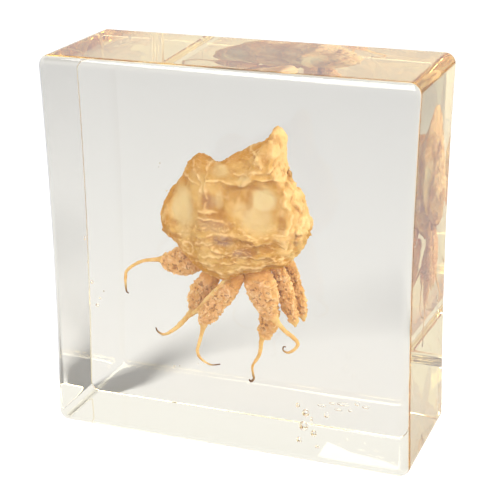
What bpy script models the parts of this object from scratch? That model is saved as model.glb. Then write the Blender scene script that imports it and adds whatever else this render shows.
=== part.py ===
"""A dried jellyfish cast in a clear resin block.

The block stands on its bottom face. X runs to the right, Y from the front face to the back face
and Z up, and the origin is at the middle of the bottom face. The block is parted in two halves,
front and back, with a pocket between them for the jellyfish: a crumpled bell and seven oral arms,
each a frilled lobe that ends in a curled filament. The tables are in millimetres.
"""

import math

import bmesh
import bpy
import numpy as np
from mathutils import noise

MM = 0.001

# The resin block
BLOCK_WIDTH = 75.0
BLOCK_DEPTH = 27.0
BLOCK_HEIGHT = 77.0
SIDE_HOLLOW = 0.7  # how far the left and right faces bow in at half height
CORNER_RADIUS = 2.2  # of the four edges that run from front to back
EDGE_RADIUS = 1.0  # of the edges round the front face and the back face
PARTING_Y = 1.2  # where the two pours of resin meet
GAP = 0.3  # between neighbours that would touch
SIDE_STEPS = 6

# The bell: its outline seen from the front, as (x, y, z), clockwise from the tip of its horn
BELL_CENTRE = (-0.5, 0.2, 47.5)
BELL_OUTLINE = [
    (8.0, 2.5, 64.8), (9.6, 2.2, 62.3), (10.3, 1.6, 58.0), (11.1, 1.2, 55.0), (13.3, 1.2, 52.0),
    (14.2, 1.0, 48.5), (15.1, 0.6, 45.5), (13.7, 0.0, 42.0), (11.3, -1.0, 38.5), (10.0, -1.8, 37.0),
    (6.0, -2.6, 36.3), (2.0, -3.0, 35.0), (-1.5, -3.0, 32.9), (-5.0, -2.6, 33.2), (-9.0, -1.4, 35.0),
    (-11.3, -0.4, 37.5), (-13.2, 0.6, 39.8), (-16.3, 1.8, 41.2), (-16.5, 2.0, 44.5),
    (-15.0, 1.8, 49.0), (-11.8, 1.6, 53.0), (-10.2, 1.6, 56.0), (-8.0, 1.4, 58.6),
    (-6.2, 1.2, 58.0), (-4.0, 1.4, 57.0), (-0.5, 1.8, 59.2), (3.8, 2.2, 61.0), (5.4, 2.4, 62.4),
    (6.6, 2.5, 64.2),
]
BELL_FRONT = 6.2  # from the bell's middle to the front of its dome
BELL_BACK = 5.8
BELL_FULLNESS = 0.72  # under 1, the bell keeps its thickness nearer to its outline
BELL_SEGMENTS = 64
BELL_RINGS = 20

# Folds on the front of the bell: (height, half width, route as (x, z)). A groove is below zero.
FRONT_FOLDS = [
    (1.5, 0.9, [(-5.4, 54.0), (-1.0, 53.4), (2.3, 53.8), (5.5, 55.0), (8.8, 56.6)]),
    (1.1, 0.9, [(-5.6, 58.0), (-5.0, 54.0), (-5.6, 50.0), (-6.6, 46.0), (-5.6, 42.6)]),
    (1.4, 0.9, [(8.0, 64.4), (9.0, 61.0), (8.8, 57.0), (10.0, 53.0), (11.0, 49.0), (11.2, 45.6)]),
    (1.6, 1.2, [(10.6, 56.4), (12.3, 52.4), (13.3, 48.4), (13.6, 44.6), (11.9, 40.6)]),
    (0.9, 0.7, [(0.5, 59.4), (3.6, 57.8), (6.4, 57.0)]),
    (-0.9, 0.6, [(10.2, 55.4), (11.4, 51.0), (12.3, 47.0), (12.2, 43.6)]),
    (1.0, 0.7, [(-9.0, 43.6), (-4.0, 42.6), (0.5, 44.2), (5.5, 42.6), (10.6, 43.8)]),
    (0.9, 0.7, [(-7.6, 40.4), (-1.6, 40.8), (4.0, 39.8), (10.4, 41.0)]),
    (0.8, 0.7, [(-8.4, 37.6), (-1.0, 38.2), (5.0, 38.0), (10.2, 38.6)]),
    (-1.3, 1.0, [(-2.6, 42.0), (1.6, 42.2), (4.6, 41.2)]),
]
# Hollows on the front of the bell: (depth, half width, half height, middle as (x, z))
FRONT_HOLLOWS = [
    (4.2, 8.6, 5.6, (3.2, 49.4)),
    (1.7, 3.4, 6.4, (-11.2, 47.2)),
    (1.3, 4.6, 1.9, (0.4, 56.4)),
]
BACK_FOLDS = [
    (1.2, 1.0, [(7.4, 62.0), (5.0, 56.0), (4.4, 49.0), (5.6, 42.0)]),
    (1.0, 1.0, [(-7.6, 57.0), (-5.2, 51.0), (-5.4, 44.0), (-3.4, 38.0)]),
    (0.9, 0.9, [(-13.6, 47.4), (-8.0, 45.0), (-3.4, 46.4)]),
    (-1.0, 0.9, [(0.0, 57.0), (-0.4, 50.0), (0.8, 42.0)]),
    (1.0, 0.9, [(12.4, 50.0), (9.0, 46.0), (9.6, 41.0)]),
]
BACK_HOLLOWS = [
    (2.0, 3.6, 5.0, (-10.0, 50.0)),
    (1.8, 3.4, 4.6, (9.4, 55.0)),
    (1.5, 4.4, 3.4, (0.6, 40.0)),
]

# The oral arms, from the left: their middle line as (x, y, z) and their half width there
ORAL_ARMS = [
    [(-8.0, 2.0, 37.4, 2.3), (-11.2, 1.8, 36.0, 3.0), (-13.6, 1.5, 35.1, 2.6), (-15.6, 1.2, 35.1, 1.4),
     (-17.3, 0.9, 35.1, 0.6), (-20.8, 0.6, 34.4, 0.4), (-23.9, 0.4, 32.3, 0.36), (-24.5, 0.3, 30.5, 0.38),
     (-24.5, 0.3, 28.8, 0.3), (-24.4, 0.4, 27.5, 0.2), (-24.0, 0.5, 27.1, 0.14)],
    [(-5.2, 1.2, 34.2, 1.5), (-7.3, 1.6, 30.6, 2.4), (-8.8, 1.6, 27.9, 2.2), (-9.9, 1.6, 25.6, 1.3),
     (-10.8, 1.5, 24.2, 0.7), (-13.4, 1.4, 21.1, 0.55), (-15.0, 1.4, 19.7, 0.45),
     (-16.7, 1.4, 18.8, 0.35), (-18.0, 1.4, 19.3, 0.22), (-18.4, 1.4, 20.1, 0.14)],
    [(-0.5, -1.8, 34.4, 1.3), (-2.0, -2.4, 31.2, 1.8), (-3.7, -2.6, 28.7, 2.2), (-5.5, -2.6, 26.2, 2.1),
     (-6.7, -2.6, 24.1, 1.4), (-7.0, -2.6, 22.4, 0.6), (-7.8, -2.6, 19.3, 0.42), (-8.3, -2.6, 17.6, 0.38),
     (-7.9, -2.6, 16.2, 0.35), (-6.8, -2.6, 15.3, 0.3), (-5.3, -2.6, 14.8, 0.22), (-3.4, -2.6, 15.2, 0.14)],
    [(5.0, -0.9, 36.0, 2.2), (5.5, -1.4, 33.2, 3.1), (5.9, -1.6, 30.7, 3.0), (6.5, -1.6, 28.6, 2.4),
     (7.4, -1.6, 27.1, 1.4), (8.4, -1.6, 25.9, 0.8), (9.7, -1.6, 24.5, 0.6), (11.3, -1.6, 23.3, 0.55),
     (12.5, -1.6, 22.4, 0.5), (12.8, -1.7, 21.6, 0.42), (12.1, -1.8, 20.5, 0.35), (10.9, -1.9, 19.7, 0.27),
     (9.9, -2.0, 20.0, 0.2), (9.9, -2.0, 20.8, 0.16), (10.4, -2.0, 20.9, 0.14)],
    [(5.0, 1.6, 39.0, 1.2), (5.1, 3.6, 33.0, 1.4), (5.6, 3.8, 27.2, 2.0), (5.5, 3.6, 23.8, 2.0),
     (4.7, 3.5, 21.4, 1.4), (4.1, 3.4, 19.9, 0.6), (3.7, 3.2, 17.0, 0.45), (2.8, 3.1, 15.3, 0.38),
     (2.2, 3.0, 14.1, 0.32), (2.3, 3.0, 12.6, 0.28), (2.5, 3.0, 11.5, 0.28), (1.9, 3.0, 10.8, 0.32),
     (1.5, 3.0, 11.1, 0.2)],
    [(7.6, 0.6, 38.0, 1.1), (9.0, 1.8, 32.8, 1.8), (9.8, 2.2, 29.7, 1.8), (10.6, 2.2, 27.3, 1.5),
     (11.2, 2.2, 25.4, 1.0), (11.5, 2.2, 24.3, 0.3)],
    [(9.6, 4.4, 37.6, 1.0), (10.4, 5.2, 33.0, 1.6), (11.2, 5.3, 30.1, 1.6), (11.9, 5.2, 27.8, 1.4),
     (12.3, 5.1, 26.1, 1.0), (12.6, 5.1, 24.9, 0.35)],
]
ARM_THICKNESS = 0.78  # of its width
ARM_SIDES = 8
ARM_RINGS = 22
FRILL_HEIGHT = 0.16  # of the lobe's half width
FRILL_SIZE = 1.1  # from one frill to the next
FILAMENT_RADIUS = 0.7  # a thinner stretch has no frills

# The pocket in the resin
ARM_ROOM = 0.45  # between an arm and its neighbours
BELL_ROOM = 1.0  # round the bell's outline
FOLD_ROOM = 3.0  # in front of the bell and behind it, over its folds
POCKET_SEGMENTS = 64
POCKET_RINGS = 12
POCKET_ARM_SIDES = 6
POCKET_ARM_RINGS = 19
ROOT_SPACE = ((6.4, 1.6, 35.2), (5.4, 4.0, 3.4))  # middle and half sizes, round the crowded arms' roots


def curve_through(points, count, closed=False):
    """count points at equal spacing along a smooth curve through the given points."""
    p = np.array(points, float)
    last = len(p) if closed else len(p) - 1
    fine = []
    for i in range(last):
        if closed:
            a, b, c, d = (p[(i + k) % len(p)] for k in (-1, 0, 1, 2))
        else:
            b, c = p[i], p[i + 1]
            a = p[i - 1] if i else 2 * b - c
            d = p[i + 2] if i + 2 < len(p) else 2 * c - b
        for t in np.linspace(0, 1, 16, endpoint=False):
            fine.append(
                b + 0.5 * t * (c - a + t * (2 * a - 5 * b + 4 * c - d + t * (3 * (b - c) + d - a)))
            )
    fine.append(fine[0] if closed else p[-1])
    fine = np.array(fine)
    length = np.concatenate([[0], np.cumsum(np.linalg.norm(np.diff(fine[:, :3], axis=0), axis=1))])
    wanted = np.linspace(0, length[-1], count + 1 if closed else count)
    curve = np.stack([np.interp(wanted, length, column) for column in fine.T], axis=1)
    return curve[:-1] if closed else curve


def distance_to_route(x, z, route):
    """Distance of each point (x, z) from a route of straight stretches."""
    nearest = np.full(len(x), np.inf)
    for (ax, az), (bx, bz) in zip(route, route[1:]):
        dx, dz = bx - ax, bz - az
        along = np.clip(((x - ax) * dx + (z - az) * dz) / (dx * dx + dz * dz), 0, 1)
        nearest = np.minimum(nearest, np.hypot(x - ax - along * dx, z - az - along * dz))
    return nearest


def relief(x, z, folds, hollows):
    """How far the bell's wall stands out at (x, z), from its folds and hollows."""
    height = np.zeros(len(x))
    for tall, width, route in folds:
        height += tall * np.exp(-((distance_to_route(x, z, route) / width) ** 2))
    for deep, wide, high, (mx, mz) in hollows:
        away = np.hypot((x - mx) / wide, (z - mz) / high)
        height -= deep * np.clip(1.6 * (1 - away**2), 0, 1) ** 1.5
    return height


def bell_points(directions, pocket=False):
    """Moves points of a unit sphere, whose poles lie on Y, onto the wall of the bell or its pocket."""
    outline = curve_through(BELL_OUTLINE, 360, closed=True)
    centre = np.array(BELL_CENTRE)
    turn = np.arctan2(directions[:, 0], directions[:, 2]) % (2 * math.pi)
    place = turn / (2 * math.pi) * len(outline)
    low = np.floor(place).astype(int)
    share = (place - low)[:, None]
    rim = outline[low % len(outline)] * (1 - share) + outline[(low + 1) % len(outline)] * share
    outward = rim - centre
    if pocket:
        outward *= 1 + BELL_ROOM / np.linalg.norm(outward, axis=1)[:, None]
    reach = np.hypot(directions[:, 0], directions[:, 2])[:, None] ** BELL_FULLNESS
    points = centre + reach * outward
    to_front = -directions[:, 1]
    half = np.where(to_front > 0, BELL_FRONT, BELL_BACK)
    if pocket:
        points[:, 1] -= to_front * (half + FOLD_ROOM)
        return points
    front = relief(points[:, 0], points[:, 2], FRONT_FOLDS, FRONT_HOLLOWS)
    back = relief(points[:, 0], points[:, 2], BACK_FOLDS, BACK_HOLLOWS)
    stands = np.where(to_front > 0, front, back)
    fade = np.sqrt(np.abs(to_front))
    points[:, 1] -= to_front * half + np.sign(to_front) * fade * stands
    return points


def finished_mesh(bm, name):
    """Turns a closed bmesh into a mesh whose faces look out."""
    bmesh.ops.recalc_face_normals(bm, faces=bm.faces)
    if bm.calc_volume(signed=True) < 0:
        bmesh.ops.reverse_faces(bm, faces=bm.faces)
    mesh = bpy.data.meshes.new(name)
    bm.to_mesh(mesh)
    bm.free()
    return mesh


def new_object(name, mesh, collection, material=None):
    obj = bpy.data.objects.new(name, mesh)
    collection.objects.link(obj)
    if material:
        obj.data.materials.append(material)
    return obj


def bell_mesh(name, segments, rings, pocket=False):
    bm = bmesh.new()
    bmesh.ops.create_uvsphere(bm, u_segments=segments, v_segments=rings, radius=1.0)
    bm.verts.ensure_lookup_table()
    sphere = np.array([v.co for v in bm.verts])
    poles_on_y = np.stack([sphere[:, 1], sphere[:, 2], sphere[:, 0]], axis=1)
    for vert, point in zip(bm.verts, bell_points(poles_on_y, pocket)):
        vert.co = point * MM
    mesh = finished_mesh(bm, name)
    mesh.shade_smooth()
    return mesh


def frill(point, seed):
    """A lumpy factor for the half width of an arm's lobe."""
    place = (point[0] / FRILL_SIZE, point[1] / FRILL_SIZE, point[2] / FRILL_SIZE + 7.3 * seed)
    return 1 + FRILL_HEIGHT * noise.noise(place) * 2


def arm_mesh(name, route, sides, rings, seed, room=0.0, frilled=True):
    """A loft of oval rings along an arm's middle line, closed to a point at both ends."""
    line = curve_through(route, rings)
    bm = bmesh.new()
    loops = []
    for i, (x, y, z, half) in enumerate(line):
        ahead = line[min(i + 1, rings - 1), :3] - line[max(i - 1, 0), :3]
        ahead /= np.linalg.norm(ahead)
        across = np.cross(ahead, (0, 1, 0))
        across /= np.linalg.norm(across)
        through = np.cross(across, ahead)
        loop = []
        for k in range(sides):
            turn = 2 * math.pi * k / sides
            way = math.cos(turn) * across + ARM_THICKNESS * math.sin(turn) * through
            point = np.array((x, y, z)) + half * way
            if frilled and half > FILAMENT_RADIUS:
                point = np.array((x, y, z)) + half * frill(point, seed) * way
            loop.append(bm.verts.new((point + room * way) * MM))
        loops.append(loop)
    for one, two in zip(loops, loops[1:]):
        for k in range(sides):
            bm.faces.new((one[k], one[(k + 1) % sides], two[(k + 1) % sides], two[k]))
    for end, inner, sign in ((loops[0], line[1], 1), (loops[-1], line[-2], 1)):
        middle = line[0] if end is loops[0] else line[-1]
        away = middle[:3] - inner[:3]
        away /= np.linalg.norm(away)
        tip = bm.verts.new((middle[:3] + sign * (0.5 * middle[3] + room) * away) * MM)
        for k in range(sides):
            bm.faces.new((end[k], end[(k + 1) % sides], tip))
    mesh = finished_mesh(bm, name)
    mesh.shade_smooth()
    return mesh


def block_mesh(name):
    """The whole block, with hollow sides and rounded edges."""
    bm = bmesh.new()
    bmesh.ops.create_cube(bm, size=1.0)
    bmesh.ops.scale(bm, vec=(BLOCK_WIDTH * MM, BLOCK_DEPTH * MM, BLOCK_HEIGHT * MM), verts=bm.verts)
    bmesh.ops.translate(bm, vec=(0, 0, BLOCK_HEIGHT / 2 * MM), verts=bm.verts)
    upright = [e for e in bm.edges if abs(e.verts[0].co.z - e.verts[1].co.z) > MM]
    bmesh.ops.subdivide_edges(bm, edges=upright, cuts=SIDE_STEPS - 1, use_grid_fill=True)
    for vert in bm.verts:
        up = 2 * vert.co.z / (BLOCK_HEIGHT * MM) - 1
        vert.co.x -= math.copysign(SIDE_HOLLOW * MM * (1 - up**2), vert.co.x)
    corners = [
        e for e in bm.edges
        if abs(e.verts[0].co.y - e.verts[1].co.y) > MM
        and abs(abs(e.verts[0].co.z / MM - BLOCK_HEIGHT / 2) - BLOCK_HEIGHT / 2) < 0.01
    ]
    bmesh.ops.bevel(
        bm, geom=corners, offset=CORNER_RADIUS * MM, segments=4, profile=0.5, affect="EDGES"
    )
    half_depth = BLOCK_DEPTH / 2 * MM
    round_face = [
        e for e in bm.edges
        if all(abs(abs(v.co.y) - half_depth) < 1e-6 for v in e.verts)
        and e.verts[0].co.y * e.verts[1].co.y > 0
        and len(e.link_faces) == 2
        and e.calc_face_angle() > math.radians(30)
    ]
    bmesh.ops.bevel(
        bm, geom=round_face, offset=EDGE_RADIUS * MM, segments=3, profile=0.5, affect="EDGES"
    )
    mesh = finished_mesh(bm, name)
    mesh.set_sharp_from_angle(angle=math.radians(35))
    return mesh


def box_mesh(name, low, high):
    bm = bmesh.new()
    bmesh.ops.create_cube(bm, size=1.0)
    size = [(b - a) * MM for a, b in zip(low, high)]
    bmesh.ops.scale(bm, vec=size, verts=bm.verts)
    bmesh.ops.translate(bm, vec=[(a + b) / 2 * MM for a, b in zip(low, high)], verts=bm.verts)
    return finished_mesh(bm, name)


def material(name, colour, roughness, transmission=0.0, subsurface=0.0):
    made = bpy.data.materials.new(name)
    made.use_nodes = True
    shader = made.node_tree.nodes["Principled BSDF"]
    shader.inputs["Base Color"].default_value = (*colour, 1.0)
    shader.inputs["Roughness"].default_value = roughness
    shader.inputs["Metallic"].default_value = 0.0
    shader.inputs["Transmission Weight"].default_value = transmission
    shader.inputs["Subsurface Weight"].default_value = subsurface
    return made


def cut(obj, cutters=None, cutter=None):
    """Takes a cutter, or every object of a collection of cutters, out of an object."""
    modifier = obj.modifiers.new("cut", "BOOLEAN")
    modifier.operation = "DIFFERENCE"
    modifier.solver = "EXACT"
    if cutters:
        modifier.operand_type = "COLLECTION"
        modifier.collection = cutters
    else:
        modifier.object = cutter


def cutter_object(name, mesh, collection):
    obj = new_object(name, mesh, collection)
    obj.hide_render = True
    obj.display_type = "WIRE"
    return obj


def build():
    for obj in list(bpy.data.objects):
        bpy.data.objects.remove(obj)
    scene = bpy.context.scene.collection
    part = bpy.data.collections.new("jellyfish_in_resin_block")
    arm_cutters = bpy.data.collections.new("arm_cutters")
    pocket_cutters = bpy.data.collections.new("pocket_cutters")
    for collection in (part, arm_cutters, pocket_cutters):
        scene.children.link(collection)

    resin = material("clear_resin", (0.98, 0.96, 0.90), 0.03, transmission=1.0)
    bell_skin = material("bell_membrane", (0.86, 0.66, 0.36), 0.5, subsurface=0.6)
    arm_skin = material("frilled_arm", (0.78, 0.52, 0.28), 0.6, subsurface=0.4)

    for i, route in enumerate(ORAL_ARMS):
        name = f"oral_arm_{i + 1}"
        new_object(name, arm_mesh(name, route, ARM_SIDES, ARM_RINGS, i), part, arm_skin)
        pocket = arm_mesh(
            f"pocket_{name}", route, POCKET_ARM_SIDES, POCKET_ARM_RINGS, i,
            room=FRILL_HEIGHT * 2 * route[1][3] + ARM_ROOM, frilled=False,
        )
        arm_cutter = cutter_object(pocket.name, pocket, arm_cutters)
        pocket_cutters.objects.link(arm_cutter)

    bell = new_object("bell", bell_mesh("bell", BELL_SEGMENTS, BELL_RINGS), part, bell_skin)
    cut(bell, cutters=arm_cutters)
    bm = bmesh.new()
    bmesh.ops.create_icosphere(bm, subdivisions=2, radius=MM)
    bmesh.ops.scale(bm, vec=ROOT_SPACE[1], verts=bm.verts)
    bmesh.ops.translate(bm, vec=[MM * c for c in ROOT_SPACE[0]], verts=bm.verts)
    cutter_object("pocket_roots", finished_mesh(bm, "pocket_roots"), pocket_cutters)

    bell_pocket = bell_mesh("pocket_bell", POCKET_SEGMENTS, POCKET_RINGS, pocket=True)
    cutter_object("pocket_bell", bell_pocket, pocket_cutters)

    far = 2 * BLOCK_HEIGHT
    other_side = {
        "resin_front": ((-far, PARTING_Y - GAP / 2, -far), (far, far, far)),
        "resin_back": ((-far, -far, -far), (far, PARTING_Y + GAP / 2, far)),
    }
    for name, (low, high) in other_side.items():
        half = new_object(name, block_mesh(name), part, resin)
        beyond = cutter_object(f"beyond_{name}", box_mesh(f"beyond_{name}", low, high), scene)
        cut(half, cutter=beyond)
        cut(half, cutters=pocket_cutters)


build()
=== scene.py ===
"""The looks of a dried jellyfish cast in a clear resin block.

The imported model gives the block's size and the pieces. The jellyfish is built again here from the
same outline and routes as its solids, with its folds, wrinkles, frills and colours, and one clear
piece takes the place of the two halves of resin. Tables of places are in millimetres.
"""

import math

import bmesh
import bpy
import numpy as np
from mathutils import Matrix, Vector


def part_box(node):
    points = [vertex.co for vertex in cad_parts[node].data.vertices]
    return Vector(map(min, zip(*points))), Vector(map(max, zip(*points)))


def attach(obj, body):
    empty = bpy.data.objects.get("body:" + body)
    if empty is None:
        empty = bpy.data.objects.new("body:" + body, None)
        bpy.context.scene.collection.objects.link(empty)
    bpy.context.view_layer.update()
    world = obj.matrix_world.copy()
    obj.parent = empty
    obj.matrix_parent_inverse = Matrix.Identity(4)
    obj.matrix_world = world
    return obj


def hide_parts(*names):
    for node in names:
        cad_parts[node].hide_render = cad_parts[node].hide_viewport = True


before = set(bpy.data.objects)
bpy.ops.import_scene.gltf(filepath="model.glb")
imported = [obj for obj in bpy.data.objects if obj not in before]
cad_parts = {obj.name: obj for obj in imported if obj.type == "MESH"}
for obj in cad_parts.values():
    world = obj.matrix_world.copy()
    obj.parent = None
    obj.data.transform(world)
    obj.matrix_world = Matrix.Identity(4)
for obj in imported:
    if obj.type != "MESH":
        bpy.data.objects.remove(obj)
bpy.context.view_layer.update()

MM = 0.001

# The camera, fitted to the block's corners in the photo
CAMERA_AZIMUTH = 21.15
CAMERA_ELEVATION = 20.23
CAMERA_ROLL = -0.63
CAMERA_PLACE = (95.8, -246.1, 134.9)
CAMERA_LENS = 102.2

# The resin block, apart from its size, which is the frame's
SIDE_HOLLOW = 0.7  # how far the left and right faces bow in at half height
SIDE_STEPS = 36
CORNER_RADIUS = 2.2
CORNER_STEPS = 12
FRONT_EDGE_RADIUS = 1.7
BACK_EDGE_RADIUS = 0.2
EDGE_STEPS = 8
FLAT_RIM = 0.3  # a flat border inside each rounded edge, which keeps the face's normals straight
RESIN_IOR = 1.5
RESIN_ABSORBS = (0.3, 1.7, 7.4)  # of red, green and blue light, per metre
BUBBLE_STEPS = 3
# Small bubbles and flat flaws in the resin: (half sizes, place)
BUBBLES = [
    ((0.3, 0.2, 0.5), (-29.6, -11.0, 40.7)), ((0.2, 0.2, 0.2), (-29.2, -11.2, 35.6)),
    ((0.35, 0.25, 0.4), (-28.6, -11.0, 31.5)), ((0.22, 0.22, 0.22), (-26.8, -11.4, 28.3)),
    ((0.45, 0.25, 0.3), (-27.7, -10.8, 26.6)), ((0.16, 0.16, 0.16), (-26.0, -11.2, 29.9)),
    ((0.12, 0.12, 0.12), (-13.7, -8.0, 57.1)), ((0.16, 0.16, 0.16), (-12.4, -8.4, 51.8)),
    ((0.1, 0.1, 0.1), (-14.1, -7.6, 56.2)),
    ((0.4, 0.4, 0.5), (14.4, -9.0, 10.9)), ((0.7, 0.5, 0.8), (16.1, -9.4, 9.6)),
    ((0.9, 0.6, 1.0), (15.6, -9.0, 6.6)), ((0.6, 0.5, 0.7), (17.6, -8.6, 5.2)),
    ((0.5, 0.3, 0.6), (14.8, -9.6, 3.6)), ((0.4, 0.3, 0.3), (18.6, -9.8, 2.8)),
    ((0.3, 0.3, 0.4), (17.2, -8.8, 8.3)),
    ((0.9, 0.12, 0.3), (19.3, -9.2, 11.7)), ((0.6, 0.12, 0.25), (21.4, -9.0, 12.4)),
    ((1.2, 0.12, 0.35), (23.6, -9.4, 12.7)), ((0.5, 0.12, 0.5), (26.4, -9.0, 13.2)),
    ((0.7, 0.12, 0.3), (28.1, -9.0, 12.7)), ((0.5, 0.12, 0.6), (20.2, -8.6, 9.6)),
    ((0.8, 0.12, 0.25), (22.6, -8.8, 11.2)), ((0.4, 0.12, 0.35), (25.0, -9.2, 11.6)),
    ((0.24, 0.2, 0.24), (-12.3, -7.0, 14.5)), ((0.12, 0.12, 0.12), (-11.0, -7.2, 14.9)),
    ((0.1, 0.1, 0.1), (-7.0, -7.0, 15.9)),
]

# The bell: its outline seen from the front, as (x, y, z), clockwise from the tip of its horn
BELL_CENTRE = (-0.5, 0.2, 47.5)
BELL_OUTLINE = [
    (8.0, 2.5, 64.3), (9.2, 2.2, 62.3), (9.9, 1.6, 58.4), (10.8, 1.2, 55.2), (13.0, 1.2, 52.0),
    (14.1, 1.0, 48.5), (14.9, 0.6, 45.0), (13.6, 0.0, 42.0), (11.3, -1.0, 39.0), (10.2, -1.8, 37.5),
    (6.0, -2.6, 36.7), (2.0, -3.0, 35.6), (-1.2, -3.0, 33.7), (-5.0, -2.6, 34.3), (-8.8, -1.4, 35.9),
    (-11.2, -0.4, 37.9), (-13.2, 0.6, 39.9), (-16.1, 1.8, 41.2), (-16.4, 2.0, 44.5),
    (-14.9, 1.8, 49.0), (-11.7, 1.6, 53.0), (-10.4, 1.6, 55.8), (-8.3, 1.4, 57.9),
    (-6.4, 1.2, 57.5), (-4.0, 1.4, 56.6), (-0.5, 1.8, 58.8), (3.8, 2.2, 60.6), (5.6, 2.4, 61.8),
    (6.8, 2.5, 63.6),
]
BELL_FRONT = 6.2
BELL_BACK = 5.8
BELL_FULLNESS = 0.72
FOLD_SHARE = 0.75  # of the height in the tables
WRINKLE_SHARE = 0.45
OUTLINE_POINTS = 720
BELL_SEGMENTS = 380
BELL_RINGS = 200

# The route of its thick right margin, as (x, z)
MARGIN_ROUTE = [
    (10.3, 57.6), (11.4, 55.1), (13.0, 53.0), (14.1, 50.5), (14.6, 47.5), (13.7, 43.7), (12.2, 41.0),
]
# Broad folds on the front of the bell: (height, half width, route as (x, z))
FRONT_FOLDS = [
    (1.0, 1.0, [(-5.4, 54.0), (-1.0, 53.4), (2.3, 53.8), (5.5, 54.6), (8.8, 55.2)]),
    (1.0, 0.8, [(-5.6, 58.0), (-5.0, 54.0), (-5.6, 50.0), (-6.6, 46.0), (-5.6, 42.6)]),
    (1.4, 0.9, [
        (8.0, 64.4), (8.4, 61.0), (8.0, 57.4), (9.4, 54.2), (10.8, 51.4), (11.3, 48.0), (10.8, 44.0),
    ]),
    (1.6, 1.1, MARGIN_ROUTE),
    (0.9, 0.7, [(-9.0, 43.6), (-4.0, 42.6), (0.5, 44.2), (5.5, 42.6), (10.6, 43.8)]),
    (0.9, 0.7, [(-7.6, 40.4), (-1.6, 40.8), (4.0, 39.8), (10.4, 41.0)]),
    (0.8, 0.7, [(-8.4, 37.6), (-1.0, 38.2), (5.0, 38.0), (10.2, 38.6)]),
    (-1.3, 1.0, [(-2.6, 42.0), (1.6, 42.2), (4.6, 41.2)]),
    (-1.2, 0.45, [
        (10.3, 63.6), (9.5, 61.0), (8.9, 57.5), (9.9, 55.3), (11.2, 53.0), (12.0, 50.6), (12.8, 48.5),
        (13.0, 46.2), (12.5, 44.0), (12.1, 41.6),
    ]),
]
# Sharp wrinkles on its front, read from the photo in the same way
FRONT_WRINKLES = [
    (0.55, 0.32, [
        (-4.8, 54.1), (-2.5, 53.8), (0.7, 53.8), (3.0, 54.2), (5.3, 54.7), (7.8, 55.1), (9.8, 54.9),
    ]),
    (0.85, 0.40, [(0.4, 55.9), (3.0, 55.7), (5.3, 56.4), (7.6, 56.7), (8.9, 57.6)]),
    (0.50, 0.35, [(1.8, 60.0), (3.5, 59.3), (4.9, 58.7), (6.4, 57.8)]),
    (0.55, 0.35, [(-5.2, 58.5), (-5.0, 56.3), (-4.9, 54.3), (-5.3, 52.4), (-4.7, 50.4), (-5.4, 48.2)]),
    (0.45, 0.35, [(-9.0, 57.4), (-8.2, 55.6), (-6.8, 54.6), (-6.2, 52.0)]),
    (0.50, 0.35, [(-11.2, 54.2), (-9.4, 54.0), (-7.4, 53.0)]),
    (0.60, 0.45, [(9.8, 54.0), (11.0, 51.4), (11.9, 48.8), (11.9, 46.4), (10.9, 43.8), (10.7, 42.1)]),
    (0.35, 0.30, [(-6.8, 47.7), (-4.5, 47.9), (-1.7, 47.8), (-0.7, 47.2)]),
    (0.35, 0.28, [(-6.4, 46.6), (-4.0, 46.8), (-1.2, 46.2), (0.6, 46.4)]),
    (0.40, 0.30, [(-7.4, 44.6), (-4.5, 44.9), (-2.7, 44.5), (-0.8, 44.9), (1.1, 44.2)]),
    (0.55, 0.32, [(-4.8, 43.1), (-1.7, 44.0), (0.6, 44.3), (2.0, 44.0), (5.2, 43.3), (7.6, 43.8)]),
    (0.55, 0.30, [
        (-3.2, 40.9), (-0.8, 40.7), (1.5, 41.5), (4.3, 41.8), (5.9, 42.6), (9.4, 42.9), (10.9, 42.4),
    ]),
    (0.45, 0.30, [(-7.2, 40.9), (-4.6, 41.5), (-2.7, 42.4)]),
    (0.45, 0.30, [(-6.1, 38.7), (-3.2, 39.1), (-0.6, 40.1), (0.6, 40.4)]),
    (0.55, 0.30, [(0.5, 39.5), (2.9, 39.1), (5.2, 39.5), (7.7, 39.9), (8.9, 39.4), (11.4, 39.9)]),
    (0.65, 0.36, [
        (-4.9, 36.5), (-2.8, 36.3), (-0.4, 36.1), (1.9, 37.1), (5.2, 37.8), (7.7, 38.5), (11.2, 38.8),
    ]),
    (0.40, 0.30, [(-6.1, 37.5), (-3.7, 37.6), (-0.9, 38.2), (1.4, 38.6)]),
    (-0.8, 0.30, [(-0.4, 43.2), (0.6, 42.4), (1.6, 42.6), (3.6, 42.2)]),
    (-0.7, 0.30, [(1.2, 40.6), (3.2, 40.2), (5.4, 40.6)]),
]
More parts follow.
